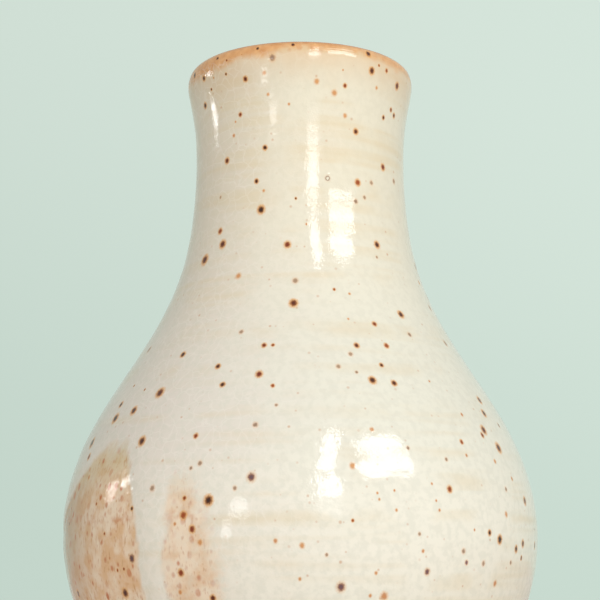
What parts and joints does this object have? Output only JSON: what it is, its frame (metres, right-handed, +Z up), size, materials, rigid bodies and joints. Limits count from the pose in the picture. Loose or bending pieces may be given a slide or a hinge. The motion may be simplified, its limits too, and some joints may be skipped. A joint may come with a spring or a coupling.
{
  "type": "bottle vase",
  "caption": "Wheel-thrown stoneware bottle vase with a full belly and flared neck, toasted lip, iron-speckled cream glaze run over a thin buff coat, and a bare turned foot ring.",
  "frame": {"origin": "centre of the plane that the foot ring stands on", "axes": "+Z up along the throwing axis; the front, with the two tall windows in the white glaze to its left, faces -Y; +X to the front's right"},
  "size_m": [0.132, 0.132, 0.1928],
  "materials": {
    "bare_stoneware": "fired, unglazed, matte and slightly gritty",
    "buff_glaze": "thin glossy glaze, toasted buff",
    "cream_glaze": "thick glossy glaze, cream with iron speckle and fine crazing",
    "toasted_lip_glaze": "glossy glaze drawn thin, toasted orange",
    "liner_glaze": "glossy cream liner glaze"
  },
  "bodies": {
    "root": {"clay_body": "bare_stoneware", "first_glaze": "buff_glaze", "white_glaze": "cream_glaze", "lip_glaze": "toasted_lip_glaze", "liner_glaze": "liner_glaze"}
  },
  "joints": []
}
